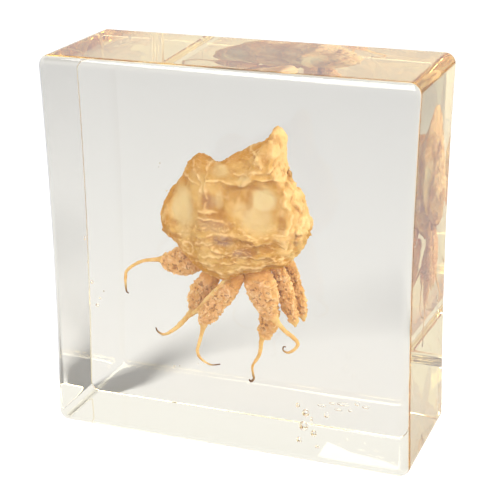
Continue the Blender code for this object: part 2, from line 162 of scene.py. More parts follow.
# Round lumps: (height, half width, place)
LUMPS = [
    (0.8, 0.9, (12.9, 52.2)), (0.7, 0.9, (13.8, 49.6)), (1.0, 1.0, (14.2, 46.2)), (0.8, 0.8, (12.6, 45.2)),
    (0.6, 0.8, (11.4, 55.2)), (0.7, 0.9, (12.9, 43.0)), (0.6, 0.8, (9.0, 62.8)), (0.5, 0.9, (7.8, 61.2)),
    (0.6, 0.7, (13.9, 47.8)), (0.5, 0.8, (12.2, 50.6)),
]
LUMP_LENGTH = 0.01  # of the very short route that a lump is
RING_FOLD = ((-9.4, 39.7), 1.25, 0.28)  # its middle, radius and half width
RING_HEIGHT = 0.5
FRONT_HOLLOWS = [
    (1.8, 8.8, 6.2, (3.2, 49.0)),
    (1.1, 3.4, 6.4, (-11.2, 47.2)),
    (1.3, 4.6, 1.9, (0.4, 56.4)),
]
BACK_FOLDS = [
    (1.2, 1.0, [(7.4, 62.0), (5.0, 56.0), (4.4, 49.0), (5.6, 42.0)]),
    (1.0, 1.0, [(-7.6, 57.0), (-5.2, 51.0), (-5.4, 44.0), (-3.4, 38.0)]),
    (0.9, 0.9, [(-13.6, 47.4), (-8.0, 45.0), (-3.4, 46.4)]),
    (-1.0, 0.9, [(0.0, 57.0), (-0.4, 50.0), (0.8, 42.0)]),
    (1.0, 0.9, [(12.4, 50.0), (9.0, 46.0), (9.6, 41.0)]),
]
BACK_HOLLOWS = [
    (2.0, 3.6, 5.0, (-10.0, 50.0)),
    (1.8, 3.4, 4.6, (9.4, 55.0)),
    (1.5, 4.4, 3.4, (0.6, 40.0)),
]
# Where the membrane is thin, and painted pale with the light that shines through it: (how pale, half width,
# half height, place)
PALE_PLACES = [
    (1.0, 2.5, 2.6, (6.2, 50.8)), (0.6, 3.4, 3.0, (5.0, 47.2)), (0.7, 2.7, 4.6, (-10.8, 47.4)),
    (0.5, 0.8, 1.9, (-2.6, 50.0)), (0.5, 1.9, 1.0, (-2.8, 55.6)), (0.4, 1.6, 1.6, (1.8, 48.4)),
    (0.45, 1.4, 0.6, (2.6, 55.0)), (0.4, 1.5, 2.0, (-10.2, 43.4)),
]
# Where light comes through it in peach
PEACH_PLACES = [
    (1.0, 1.7, 3.2, (8.7, 62.0)), (1.0, 1.5, 3.2, (9.6, 57.2)), (0.8, 1.5, 2.6, (12.0, 53.0)),
    (0.7, 1.3, 3.6, (13.6, 48.6)), (0.5, 1.3, 2.4, (12.4, 44.2)),
]
# Painted shade where it lies in folds; some folds are also mauve
FOLD_SHADE_PLACES = [
    (0.8, 1.0, 2.4, (-5.0, 50.0)), (0.7, 2.4, 1.0, (-1.0, 42.6)), (0.7, 2.4, 0.9, (3.2, 40.4)),
    (0.7, 1.0, 2.2, (10.2, 46.4)), (0.7, 1.8, 0.5, (3.4, 42.6)), (0.6, 1.6, 0.6, (-12.2, 41.6)),
    (0.45, 2.8, 1.6, (-3.8, 46.6)), (0.35, 1.6, 1.2, (-7.6, 55.0)), (0.55, 1.8, 1.4, (5.4, 58.8)),
    (0.5, 1.2, 0.5, (0.6, 52.8)), (0.5, 4.0, 0.5, (2.6, 53.1)), (0.5, 0.8, 2.0, (3.4, 50.6)),
    (0.6, 3.0, 0.4, (8.2, 37.9)), (0.5, 2.4, 0.4, (3.0, 36.9)),
]
# Where those folds are mauve
MAUVE_PLACES = [
    (1.0, 2.2, 1.3, (-1.6, 42.6)), (0.9, 1.9, 1.0, (2.6, 40.3)), (0.5, 4.0, 1.4, (-3.6, 45.2)),
    (0.5, 1.4, 1.6, (-4.4, 49.6)),
]
SPOT_EDGE = (0.55, 1.35)  # where a spot starts to fade and where it ends, in half widths
HOLLOW_DEPTH_SHARE = 1.6  # more than 1 gives a hollow a flat floor
HOLLOW_STEEPNESS = 1.5

# The fine relief of the bell's skin. Noise bends the drawn lines and breaks them up.
WANDER_SIZE = 2.2
WANDER_REACH = 0.5
BREAK_STRETCH = (2.0, 4.0, 1.0)
BREAK_EDGE = (-0.7, 0.3)
LINE_WIDTH = 0.2
LINE_SHADOW_DROP = 0.4  # the painted shadow under a line lies this far below it
WARP_SIZE = 3.0
WARP_REACH = 0.9
# Kinds of crease: (size along X, Y and Z, axis that the warp bends it along, share of the warp)
BAND_CREASES = ((4.2, 1.6, 0.62), 2, 1.0)
UPRIGHT_STREAKS = ((0.9, 2.0, 5.0), 0, 0.6)
FINE_LINES = ((2.6, 1.2, 0.42), 2, 1.6)
GROOVE_SHIFT = 40  # how far off in the noise the grooves between the fine lines are read
CRUMPLE_SIZE = 0.9
WOBBLE_SIZE = 2.6
FAN_MIDDLE = (8.5, 66.0)  # the creases of the flap fan out from above the horn
FAN_COUNT = 9.0  # creases in one radian of the fan
FAN_LENGTH = 6.0
FAN_DEPTH = 2.0
# Where each part of the bell starts, and where it is full
BAND_HEIGHTS = (47.5, 44.0)  # the wrinkled band below the bowl
FLAP_HEIGHTS = (54.0, 56.5)  # the flap above the bowl
MARGIN_REACH = (2.4, 1.0)  # the thick right margin, by the distance from its route
MARGIN_SIDE = (9.0, 10.5)  # the same, by x
RIM_SHARE = (0.78, 0.92)  # the rim, by the share of the way to the outline
FINE_LINE_EDGE = (0.6, 0.88)
FINE_GROOVE_EDGE = (0.6, 0.9)
LINED_FLAP_SHARE = 0.6
RIDGE_MEAN = 0.5
PALE_CALM = 0.7  # how much less the pale places swell
FINE_LINE_HEIGHT = 0.10
WOBBLE_HEIGHT = 0.30
CREASE_HEIGHT = 0.28
STREAK_HEIGHT = 0.12
MARGIN_CRUMPLE = 0.30
WALL_CRUMPLE = 0.07
RIM_CRUMPLE = 0.12
# How much each thing counts in the values that colour the bell
# Painted highlight: the crest values lighten the raised lines, the higher swells and the margin's lumps
DRAWN_CREST = 0.9
FINE_CREST = 0.8
HIGH_CREST = 0.4
HIGH_EDGE = (0.08, 0.3)
LUMP_CREST = 0.6
LUMP_EDGE = (0.2, 0.8)
DRAWN_OVER_MAUVE = 0.8
FINE_OVER_MAUVE = 0.5
# Painted shade: under the raised lines, in the grooves between the fine lines and in low places
UNDER_DARK = 0.6
GROOVE_DARK = 0.5
LOW_DARK = 0.6
LOW_EDGE = (0.1, 0.3)
PALE_WOBBLE = 0.10
PEACH_WOBBLE = 0.15

# The oral arms, from the left: their middle line as (x, y, z) and their half width there
ORAL_ARMS = [
    [(-8.0, 2.0, 37.4, 2.5), (-11.0, 1.8, 35.8, 3.1), (-13.6, 1.5, 35.0, 2.7), (-15.8, 1.2, 35.0, 1.6),
     (-17.4, 0.9, 35.1, 0.6), (-20.8, 0.6, 34.4, 0.4), (-23.9, 0.4, 32.3, 0.36), (-24.5, 0.3, 30.5, 0.38),
     (-24.5, 0.3, 28.8, 0.3), (-24.4, 0.4, 27.5, 0.2), (-24.0, 0.5, 27.1, 0.14)],
    [(-5.2, 1.2, 34.2, 1.5), (-7.3, 1.6, 30.6, 2.4), (-8.8, 1.6, 27.9, 2.2), (-9.9, 1.6, 25.6, 1.3),
     (-10.8, 1.5, 24.2, 0.7), (-13.4, 1.4, 21.1, 0.55), (-15.0, 1.4, 19.7, 0.45),
     (-16.7, 1.4, 18.8, 0.35), (-18.0, 1.4, 19.3, 0.22), (-18.4, 1.4, 20.1, 0.14)],
    [(1.0, -1.8, 35.0, 1.2), (-1.3, -2.4, 31.6, 1.8), (-3.7, -2.6, 28.7, 2.2), (-5.5, -2.6, 26.2, 2.1),
     (-6.7, -2.6, 24.1, 1.4), (-7.0, -2.6, 22.4, 0.6), (-7.8, -2.6, 19.3, 0.42), (-8.3, -2.6, 17.6, 0.38),
     (-7.9, -2.6, 16.2, 0.35), (-6.8, -2.6, 15.3, 0.3), (-5.3, -2.6, 14.8, 0.22), (-3.4, -2.6, 15.2, 0.14)],
    [(3.6, -0.9, 36.2, 2.4), (4.9, -1.4, 33.4, 3.2), (5.9, -1.6, 30.7, 3.0), (6.5, -1.6, 28.6, 2.4),
     (7.4, -1.6, 27.1, 1.4), (8.4, -1.6, 25.9, 0.8), (9.7, -1.6, 24.5, 0.6), (11.3, -1.6, 23.3, 0.55),
     (12.5, -1.6, 22.4, 0.5), (12.8, -1.7, 21.6, 0.42), (12.1, -1.8, 20.5, 0.35), (10.9, -1.9, 19.7, 0.27),
     (9.9, -2.0, 20.0, 0.2), (9.9, -2.0, 20.8, 0.16), (10.4, -2.0, 20.9, 0.14)],
    [(5.0, 1.6, 39.0, 1.2), (5.1, 3.6, 33.0, 1.4), (5.6, 3.8, 27.2, 2.0), (5.5, 3.6, 23.8, 2.0),
     (4.7, 3.5, 21.4, 1.4), (4.1, 3.4, 19.9, 0.6), (3.7, 3.2, 17.0, 0.45), (2.8, 3.1, 15.3, 0.38),
     (2.2, 3.0, 14.1, 0.32), (2.3, 3.0, 12.6, 0.28), (2.5, 3.0, 11.5, 0.28), (1.9, 3.0, 10.8, 0.32),
     (1.5, 3.0, 11.1, 0.2)],
    [(7.6, 0.6, 38.0, 1.1), (9.0, 1.8, 32.8, 1.8), (9.8, 2.2, 29.7, 1.8), (10.6, 2.2, 27.3, 1.5),
     (11.2, 2.2, 25.4, 1.0), (11.5, 2.2, 24.3, 0.3)],
    [(9.6, 4.4, 37.6, 1.0), (10.4, 5.2, 33.0, 1.6), (11.2, 5.3, 30.1, 1.6), (11.9, 5.2, 27.8, 1.4),
     (12.3, 5.1, 26.1, 1.0), (12.6, 5.1, 24.9, 0.35)],
]
ARM_THICKNESS = 0.78
ARM_SIDES = 120
ARM_RINGS = 300
FILAMENT_RADIUS = 0.7  # a thinner stretch has no frills
FILAMENT_SHARE = 0.85  # of the width in the table, for the filaments
FULL_WIDTHS = (0.6, 1.1)  # an arm this wide keeps some of the table's width, and all of it
DENSE_WIDTHS = (0.5, 1.1)  # between these its rings draw closer together
SPARSEST_RINGS = 0.45  # against 1.45 in a lobe
FINER = 3  # how many more points are worked out along an arm than it has rings
CAP_LENGTH = 0.5  # of the half width, for the point that closes each end
THREADED_ARMS = (1, 2, 3, 4, 5)  # those with a filament that ends in a dark tip
FRILLS = [(1.5, 0.55, 1.0), (0.75, 0.60, 0.9), (0.42, 0.34, 0.7)]  # size, height, and how dark its clefts are painted in shade
FRILL_LEVEL = 0.55  # the distance from a frill's middle where it is neither raised nor sunk
FRILL_SINK = 0.1
FRILL_BEND = 0.35
FRILL_BEND_SIZE = 1.3
FRILL_BEND_SEEDS = (5, 9, 13)
ARM_SEED_STEP = 100
FRILL_SEED_STEP = 17
CLEFT_EDGE = (0.45, 0.85)
TUFT_HEIGHTS = (0.1, 0.6)
LOBE_RISE = 0.6  # how much wider than a filament an arm is where its frills are full
ROOT_SHARE = (0.04, 0.17)  # of the way along the arm
ROOT_CALM = 0.6  # how much lower the frills are at the root
FACING_FRONT = (0.55, 0.95)  # by how much the skin's normal points to the front or the back, where shade is painted and specks gather
TIP_SHARE = (0.86, 1.0)
THREAD_ROUGHNESS = 0.16  # of a filament's half width
THREAD_KNOT_SIZE = 0.7
# A smooth pale strip along the edge of the second arm
STRIP_ARM = 2
STRIP = [(-1.8, -2.6, 33.8, 0.35), (-3.8, -3.2, 31.3, 0.45), (-5.8, -3.2, 29.0, 0.5), (-7.6, -2.2, 26.8, 0.5),
         (-9.3, -0.8, 25.1, 0.45), (-10.9, 0.8, 23.7, 0.35)]
STRIP_PLACE = 0.5  # how far along the arm its colour is taken to lie
STRIP_SIDES = 24
STRIP_RINGS = 60

# Noise in the materials: (scale, detail), and for patches also where they start and are full
BELL_BLOTCHES = (260.0, 4.0, 0.35, 0.65)
BELL_GRAIN = (2600.0, 3.0)
MAUVE_CLOUDS = (420.0, 2.0)
MAUVE_CLOUD_SPAN = (0.35, 0.6, 0.3, 0.8)
ARM_BLOTCHES = (500.0, 3.0, 0.35, 0.7)
ARM_SPECKS = (1100.0, 2.0, 0.56, 0.64)
ARM_GRAIN = (3000.0, 2.0)
RESIN_WAVES = (30.0, 2.0)
# Colours as a screen shows them, from 0 to 255. A tint is (stored value, strength, colour): the
# skin turns to the colour where that value is high.
BELL_TONES = ((202, 156, 78), (222, 186, 118))
BELL_TINTS = [
    ("gold", 0.9, (200, 144, 50)), ("peach", 0.9, (244, 208, 150)), ("pale", 0.9, (230, 216, 172)),
    # The dark tint is painted shade
    ("dark", 0.9, (180, 128, 62)),
]
MAUVE = (172, 142, 126)
# A painted highlight on the bell's crests
CREST_TINT = ("crest_highlight", 0.75, (252, 226, 172))
FRILL_TONES = ((240, 200, 138), (246, 212, 166))
# Painted shade: the middle tint darkens skin that faces the front or back and leaves the edges lighter; the
# cleft tint darkens the clefts
FRILL_TINTS = [("middle", 0.45, (218, 176, 138)), ("cleft", 0.8, (214, 164, 102))]
SPECK = (150, 102, 70)
SPECK_STRENGTH = 0.6
SPECKS_OFF_MIDDLE = 0.2
# The tuft tint is a painted highlight on the tops of the frills; the root tint is the root's own gold
TUFT_TINTS = [("tuft_highlight", 0.75, (255, 232, 190)), ("root", 0.9, (216, 160, 86))]
THREAD_TONES = ((236, 208, 150), (222, 180, 112))
THREAD_TIP = (110, 72, 42)
TRANSLUCENT_SHARE = 0.12
FLESH_ROUGHNESS = 0.6
FLESH_SPECULAR = 0.1
FLESH_SUBSURFACE = 0.4
FLESH_SUBSURFACE_COLOURS = (1.0, 0.7, 0.4)
FLESH_SUBSURFACE_REACH = 0.0004
FLESH_BUMP = (0.5, 0.00015)  # strength and distance
RESIN_BUMP = (0.05, 0.0004)
RESIN_SHADOW = (0.9, 0.9, 0.9, 1.0)

# The floor under the block and the light. The floor, lamps and panel are in metres.
FLOOR_SIZE = 3.0
FLOOR_DROP = 0.15  # how far below the block it lies, in millimetres
FLOOR_TONE = (0.86, 0.875, 0.95)  # as seen through the resin
FLOOR_SEEN_TONE = (0.9, 0.9, 0.9)  # as seen by the camera
FLOOR_SEEN_GLOW = 0.5
LAMP_DISTANCE = 0.95
LAMP_AIM = (0, 0, 0.04)  # the place that the lamps shine at, in metres
# Round lamps in front of the block: (name, turn from straight in front, elevation, radius, watts)
FLOOR_LAMP = ("floor_key", -17.0, 42.0, 0.17, 9.5)
JELLYFISH_LAMPS = [
    ("key", -20.0, 28.0, 0.2, 3.9), ("fill", 46.0, 8.0, 0.2, 3.2), ("side_fill", 98.0, 20.0, 0.2, 5.5),
    ("top_fill", 0.0, 78.0, 0.2, 2.4),
]
# A pale panel above the camera that shows only as highlights on the block's rounded edges
PANEL_AZIMUTH = 16.0
PANEL_ELEVATION = 62.0
PANEL_DISTANCE = 0.8
PANEL_SIZE = (1.0, 0.9)
PANEL_STRENGTH = 9.0
# The edges of a real block turn the light away, so that a dark wedge lies on the floor behind it. A
# bent strip behind the block, which only shades the floor's lamp, stands for that.
SHADE_GAP = 0.4  # how far behind the block it stands
LEFT_SHADE = [  # (height, how far from the left edge it begins there, and how far it ends)
    (0.0, -1.5, 6.0),
    (6.0, -1.0, 8.5),
    (12.0, -0.5, 8.0),
    (26.0, 0.5, 6.0),
    (41.0, 9.5, 13.5),
    (57.0, 23.0, 26.5),
]
TOP_SHADE = (36.0, 3.0)  # how far from the left edge it begins, and its height at the right
# The light from all round, which is less from above
WORLD_TONE = (0.97, 0.985, 1.04, 1.0)
WORLD_SPAN = (0.45, 0.7)  # of the way from straight down to straight up
WORLD_LEVELS = (0.97, 0.15)

# Large odd numbers that mix up the bits of small ones, and the 32 bits that are kept
CELL_MIXERS = (73856093, 19349663, 83492791)
SEED_MIXER = 668265263
HASH_MIXERS = (2246822519, 3266489917)
HASH_MASK = 0xFFFFFFFF

WHITE = (1.0, 1.0, 1.0, 1.0)
CURVE_STEPS = 24  # between two given points
RIDGE_TOTAL = 1.7  # about what the crests of all octaves add up to
CUBE_CORNERS = [(i, j, k) for i in (0, 1) for j in (0, 1) for k in (0, 1)]


def hashed(cell, seed):
    """A repeatable value from 0 to 1 for each row of whole numbers."""
    bits = (seed + 1) * SEED_MIXER
    for column, mixer in zip(cell.T, CELL_MIXERS):
        bits = column * mixer ^ bits
    bits = (bits ^ (bits >> 15)) * HASH_MIXERS[0] & HASH_MASK
    bits = (bits ^ (bits >> 13)) * HASH_MIXERS[1] & HASH_MASK
    return (bits ^ (bits >> 16)) / HASH_MASK


def smooth_noise(points, seed):
    """Noise from -1 to 1 that changes over about one unit."""
    cell = np.floor(points).astype(np.int64)
    part = points - cell
    part = part * part * (3 - 2 * part)
    total = np.zeros(len(points))
    for corner in CUBE_CORNERS:
        weight = np.prod(np.where(corner, part, 1 - part), axis=1)
        total += weight * hashed(cell + corner, seed)
    return 2 * total - 1


def rough_noise(points, octaves, seed):
    return sum(smooth_noise(points * 2**k, seed + k) / 2**k for k in range(octaves))


def ridged_noise(points, octaves, seed):
    """Sharp crests, from 0 to about 1."""
    crests = [(1 - np.abs(smooth_noise(points * 2**k, seed + k))) ** 2 / 2**k for k in range(octaves)]
    return sum(crests) / RIDGE_TOTAL


def cell_distance(points, seed):
    """Distance to the nearest of points scattered one to each unit cell."""
    cell = np.floor(points).astype(np.int64)
    best = np.full(len(points), np.inf)
    steps = (-1, 0, 1)
    for step in [(i, j, k) for i in steps for j in steps for k in steps]:
        near = cell + step
        middle = near + np.stack([hashed(near, seed + k) for k in range(3)], axis=1)
        best = np.minimum(best, np.linalg.norm(points - middle, axis=1))
    return best


def ramp(value, low, high):
    """From 0 at the low value to 1 at the high one, with soft ends."""
    t = np.clip((value - low) / (high - low), 0, 1)
    return t * t * (3 - 2 * t)


def curve_through(points, count, closed=False):
    """So many points, equally spaced, along a smooth curve through the given ones."""
    given = np.array(points, float)
    total = len(given)
    fine = []
    for i in range(total if closed else total - 1):
        if closed:
            a, b, c, d = (given[(i + k) % total] for k in (-1, 0, 1, 2))
        else:
            b, c = given[i], given[i + 1]
            a = given[i - 1] if i else 2 * b - c
            d = given[i + 2] if i + 2 < total else 2 * c - b
        for t in np.linspace(0, 1, CURVE_STEPS, endpoint=False):
            fine.append(
                b + 0.5 * t * (c - a + t * (2 * a - 5 * b + 4 * c - d + t * (3 * (b - c) + d - a)))
            )
    fine.append(fine[0] if closed else given[-1])
    fine = np.array(fine)
    length = np.concatenate([[0], np.cumsum(np.linalg.norm(np.diff(fine[:, :3], axis=0), axis=1))])
    wanted = np.linspace(0, length[-1], count + 1 if closed else count)
    curve = np.stack([np.interp(wanted, length, column) for column in fine.T], axis=1)
    return curve[:-1] if closed else curve


def distance_to_route(x, z, route):
    nearest = np.full(len(x), np.inf)
    for (ax, az), (bx, bz) in zip(route, route[1:]):
        dx, dz = bx - ax, bz - az
        along = np.clip(((x - ax) * dx + (z - az) * dz) / (dx * dx + dz * dz), 0, 1)
        nearest = np.minimum(nearest, np.hypot(x - ax - along * dx, z - az - along * dz))
    return nearest


def relief(x, z, folds, hollows=()):
    """How far the bell's wall stands out at (x, z), from its folds and hollows."""
    height = np.zeros(len(x))
    for tall, width, route in folds:
        height += tall * np.exp(-((distance_to_route(x, z, route) / width) ** 2))
    for deep, wide, high, (mx, mz) in hollows:
        away = np.hypot((x - mx) / wide, (z - mz) / high)
        height -= deep * np.clip(HOLLOW_DEPTH_SHARE * (1 - away**2), 0, 1) ** HOLLOW_STEEPNESS
    return height


def spots(x, z, places):
    """How strongly each point lies in one of the places, from 0 to 1."""
    most = np.zeros(len(x))
    for strong, wide, high, (mx, mz) in places:
        away = np.hypot((x - mx) / wide, (z - mz) / high)
        most = np.maximum(most, strong * (1 - ramp(away, *SPOT_EDGE)))
    return most


def new_mesh(name, bm):
    mesh = bpy.data.meshes.new(name)
    bmesh.ops.recalc_face_normals(bm, faces=bm.faces)
    if bm.calc_volume(signed=True) < 0:
        bmesh.ops.reverse_faces(bm, faces=bm.faces)
    bm.to_mesh(mesh)
    bm.free()
    mesh.shade_smooth()
    return mesh


def new_object(name, mesh, material):
    obj = bpy.data.objects.new(name, mesh)
    bpy.context.scene.collection.objects.link(obj)
    mesh.materials.append(material)
    return obj


def places_of(mesh):
    flat = np.empty(len(mesh.vertices) * 3)
    mesh.vertices.foreach_get("co", flat)
    return flat.reshape(-1, 3) / MM


def normals_of(mesh):
    flat = np.empty(len(mesh.vertices) * 3)
    mesh.vertex_normals.foreach_get("vector", flat)
    return flat.reshape(-1, 3)


def move_to(mesh, places):
    mesh.vertices.foreach_set("co", (places * MM).ravel())
    mesh.update()


def paint(mesh, name, values):
    """Stores one number for each vertex, which the materials read by name."""
    layer = mesh.attributes.new(name, "FLOAT", "POINT")
    layer.data.foreach_set("value", np.clip(values, 0, 1).astype(np.float32))


def unit_sphere():
    """A sphere with its poles on Y, as a mesh in the making and as the way to each of its points."""
    bm = bmesh.new()
    bmesh.ops.create_uvsphere(bm, u_segments=BELL_SEGMENTS, v_segments=BELL_RINGS, radius=1.0)
    bm.verts.ensure_lookup_table()
    sphere = np.array([vert.co for vert in bm.verts])
    return bm, np.stack([sphere[:, 1], sphere[:, 2], sphere[:, 0]], axis=1)


def flat_bell(ways):
    """Each way's place inside the bell's outline, and how near the outline that is, from 0 to 1."""
    outline = curve_through(BELL_OUTLINE, OUTLINE_POINTS, closed=True)
    place = np.arctan2(ways[:, 0], ways[:, 2]) % (2 * math.pi) / (2 * math.pi) * len(outline)
    low = np.floor(place).astype(int)
    share = (place - low)[:, None]
    rim = outline[low % len(outline)] * (1 - share) + outline[(low + 1) % len(outline)] * share
    reach = np.hypot(ways[:, 0], ways[:, 2]) ** BELL_FULLNESS
    centre = np.array(BELL_CENTRE)
    return centre + reach[:, None] * (rim - centre), reach


def ring_fold(x, z):
    """How strongly each point lies on the small ring at the bell's lower left, from 0 to 1."""
    (middle_x, middle_z), radius, width = RING_FOLD
    away = np.abs(np.hypot(x - middle_x, z - middle_z) - radius)
    return np.exp(-((away / width) ** 2))


def lump_height(x, z):
    lumps = [(tall, wide, [(lx, lz), (lx + LUMP_LENGTH, lz)]) for tall, wide, (lx, lz) in LUMPS]
    return relief(x, z, lumps)


def wall_depth(to_front, x, z, ring, lumps):
    """How far the bell's wall lies in front of its middle, and behind it where that is below 0."""
    wrinkles = relief(x, z, FRONT_WRINKLES) + RING_HEIGHT * ring
    front = FOLD_SHARE * relief(x, z, FRONT_FOLDS) + WRINKLE_SHARE * wrinkles
    front += relief(x, z, [], FRONT_HOLLOWS) + lumps
    back = relief(x, z, BACK_FOLDS, BACK_HOLLOWS)
    half = np.where(to_front > 0, BELL_FRONT, BELL_BACK)
    raised = np.sqrt(np.abs(to_front)) * np.where(to_front > 0, front, back)
    return to_front * half + np.sign(to_front) * raised


def crease_places(points, kind, warp):
    """Where to read the noise for one kind of crease."""
    sizes, axis, share = kind
    places = points / sizes
    places[:, axis] += share * warp
    return places


def fan_places(points, warp):
    """The same for creases that fan out from above the horn."""
    x, z = points[:, 0] - FAN_MIDDLE[0], points[:, 2] - FAN_MIDDLE[1]
    around = np.arctan2(x, -z) * FAN_COUNT + warp
    return np.stack([around, np.hypot(x, z) / FAN_LENGTH, points[:, 1] / FAN_DEPTH], axis=1)


def skin_relief(points, pale, rim, margin):
    """The height of the bell's fine creases, its fine lines and grooves, and its slow swells."""
    warp = WARP_REACH * rough_noise(points / WARP_SIZE, octaves=3, seed=11)
    band = ramp(points[:, 2], *BAND_HEIGHTS) * (1 - pale)
    flap = ramp(points[:, 2], *FLAP_HEIGHTS)
    creases = ridged_noise(crease_places(points, BAND_CREASES, warp), octaves=3, seed=21)
    fan_creases = ridged_noise(fan_places(points, warp), octaves=3, seed=31)
    streaks = ridged_noise(crease_places(points, UPRIGHT_STREAKS, warp), octaves=2, seed=41)
    crumple = rough_noise(points / CRUMPLE_SIZE, octaves=4, seed=51)
    wobble = rough_noise(points / WOBBLE_SIZE, octaves=3, seed=61)
    fine = crease_places(points, FINE_LINES, warp)
    lined = np.maximum(band, LINED_FLAP_SHARE * flap)
    lines = ramp(ridged_noise(fine, octaves=2, seed=81), *FINE_LINE_EDGE) * lined
    grooves = ramp(ridged_noise(fine + GROOVE_SHIFT, octaves=2, seed=91), *FINE_GROOVE_EDGE) * lined
    height = FINE_LINE_HEIGHT * (lines - grooves) + WOBBLE_HEIGHT * wobble * (1 - PALE_CALM * pale)
    height += CREASE_HEIGHT * ((creases - RIDGE_MEAN) * band + (fan_creases - RIDGE_MEAN) * flap)
    height += STREAK_HEIGHT * (streaks - RIDGE_MEAN) * (1 - band) * (1 - flap)
    height += (MARGIN_CRUMPLE * margin + WALL_CRUMPLE * (1 - pale) + RIM_CRUMPLE * rim) * crumple
    return height, lines, grooves, wobble


def build_bell(material):
    """A sphere moved onto the bell's wall, then wrinkled and painted, with painted highlights and shade among
    its colours.
    """
    bm, ways = unit_sphere()
    points, reach = flat_bell(ways)
    x, z = points[:, 0].copy(), points[:, 2].copy()
    wander = np.stack([x, z, np.zeros(len(x))], axis=1) / WANDER_SIZE
    bent_x = x + WANDER_REACH * rough_noise(wander, octaves=3, seed=3)
    bent_z = z + WANDER_REACH * rough_noise(wander, octaves=3, seed=7)
    ring, lumps = ring_fold(x, z), lump_height(x, z)
    points[:, 1] -= wall_depth(-ways[:, 1], bent_x, bent_z, ring, lumps)
    for vert, point in zip(bm.verts, points):
        vert.co = point * MM
    mesh = new_mesh("bell_membrane", bm)

    pale = spots(x, z, PALE_PLACES)
    peach = spots(x, z, PEACH_PLACES)
    rim = ramp(reach, *RIM_SHARE)
    margin = ramp(distance_to_route(x, z, MARGIN_ROUTE), *MARGIN_REACH) * ramp(x, *MARGIN_SIDE)
    height, fine_lines, fine_grooves, wobble = skin_relief(points, pale, rim, margin)
    move_to(mesh, points + normals_of(mesh) * height[:, None])

    raised = [(1.0, LINE_WIDTH, route) for tall, _, route in FRONT_WRINKLES if tall > 0]
    broken = ramp(smooth_noise(wander * BREAK_STRETCH, seed=17), *BREAK_EDGE)
    lines = broken * np.clip(relief(bent_x, bent_z, raised) + ring, 0, 1)
    line_shadows = broken * np.clip(relief(bent_x, bent_z + LINE_SHADOW_DROP, raised), 0, 1)
    # Painted highlight on the drawn and fine lines, on the higher swells and on the margin's lumps
    crest_highlight = DRAWN_CREST * lines + FINE_CREST * fine_lines
    crest_highlight += HIGH_CREST * ramp(height, *HIGH_EDGE) + LUMP_CREST * ramp(lumps, *LUMP_EDGE) * margin
    mauve = spots(x, z, MAUVE_PLACES) * (1 - DRAWN_OVER_MAUVE * lines) * (1 - FINE_OVER_MAUVE * fine_lines)
    # Painted shade in the folds, under each raised line, in the fine grooves and in low places
    dark = spots(x, z, FOLD_SHADE_PLACES) + UNDER_DARK * line_shadows + GROOVE_DARK * fine_grooves
    dark += LOW_DARK * ramp(-height, *LOW_EDGE)
    # The thin skin's own paler colour together with painted light shining through it, lighter on the swells
    paint(mesh, "pale", pale + PALE_WOBBLE * wobble)
    paint(mesh, "crest_highlight", crest_highlight)
    paint(mesh, "peach", peach + PEACH_WOBBLE * wobble)
    paint(mesh, "mauve", mauve)
    paint(mesh, "gold", rim * (1 - margin) * (1 - peach))
    paint(mesh, "dark", dark)
    bell = new_object("bell_membrane", mesh, material)
    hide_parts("bell")
    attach(bell, "root")


def loft(bm, line, sides):
    """Oval rings along a middle line, closed at both ends, with how far along each vertex lies."""
    turns = np.linspace(0, 2 * math.pi, sides, endpoint=False)
    rings, halves, travel = [], [], []
    for i, (x, y, z, half, along) in enumerate(line):
        ahead = line[min(i + 1, len(line) - 1), :3] - line[max(i - 1, 0), :3]
        ahead /= np.linalg.norm(ahead)
        across = np.cross(ahead, (0, 1, 0))
        across /= np.linalg.norm(across)
        through = np.cross(across, ahead)
        way = np.cos(turns)[:, None] * across + ARM_THICKNESS * np.sin(turns)[:, None] * through
        ring = np.array((x, y, z)) + half * way
        rings.append([bm.verts.new(point * MM) for point in ring])
        halves += [half] * sides
        travel += [along] * sides
    for one, two in zip(rings, rings[1:]):
        for k in range(sides):
            after = (k + 1) % sides
            bm.faces.new((one[k], one[after], two[after], two[k]))
    for ring, end, inner in ((rings[0], line[0], line[1]), (rings[-1], line[-1], line[-2])):
        away = end[:3] - inner[:3]
        tip = bm.verts.new((end[:3] + CAP_LENGTH * end[3] * away / np.linalg.norm(away)) * MM)
        halves.append(end[3])
        travel.append(end[4])
        for k in range(sides):
            bm.faces.new((ring[k], ring[(k + 1) % sides], tip))
    return halves, travel


def arm_line(route, count):
    """Rings along an arm as (x, y, z, half width, share of the way), closer together in its lobe."""
    fine = curve_through(route, FINER * count)
    fine[:, 3] *= FILAMENT_SHARE + (1 - FILAMENT_SHARE) * ramp(fine[:, 3], *FULL_WIDTHS)
    fine = np.column_stack([fine, np.linspace(0, 1, len(fine))])
    dense = np.cumsum(SPARSEST_RINGS + ramp(fine[:, 3], *DENSE_WIDTHS))
    wanted = np.linspace(dense[0], dense[-1], count)
    return np.stack([np.interp(wanted, dense, column) for column in fine.T], axis=1)


def arm_mesh(number, route, name):
    """An arm without its frills, with the half width and the share of the way at each vertex."""
    bm = bmesh.new()
    halves, travel = loft(bm, arm_line(route, ARM_RINGS), ARM_SIDES)
    if number == STRIP_ARM:
        strip = curve_through(STRIP, STRIP_RINGS)
        strip = np.column_stack([strip, np.full(STRIP_RINGS, STRIP_PLACE)])
        more_halves, more_travel = loft(bm, strip, STRIP_SIDES)
        halves, travel = halves + more_halves, travel + more_travel
    return new_mesh(name, bm), np.array(halves), np.array(travel)


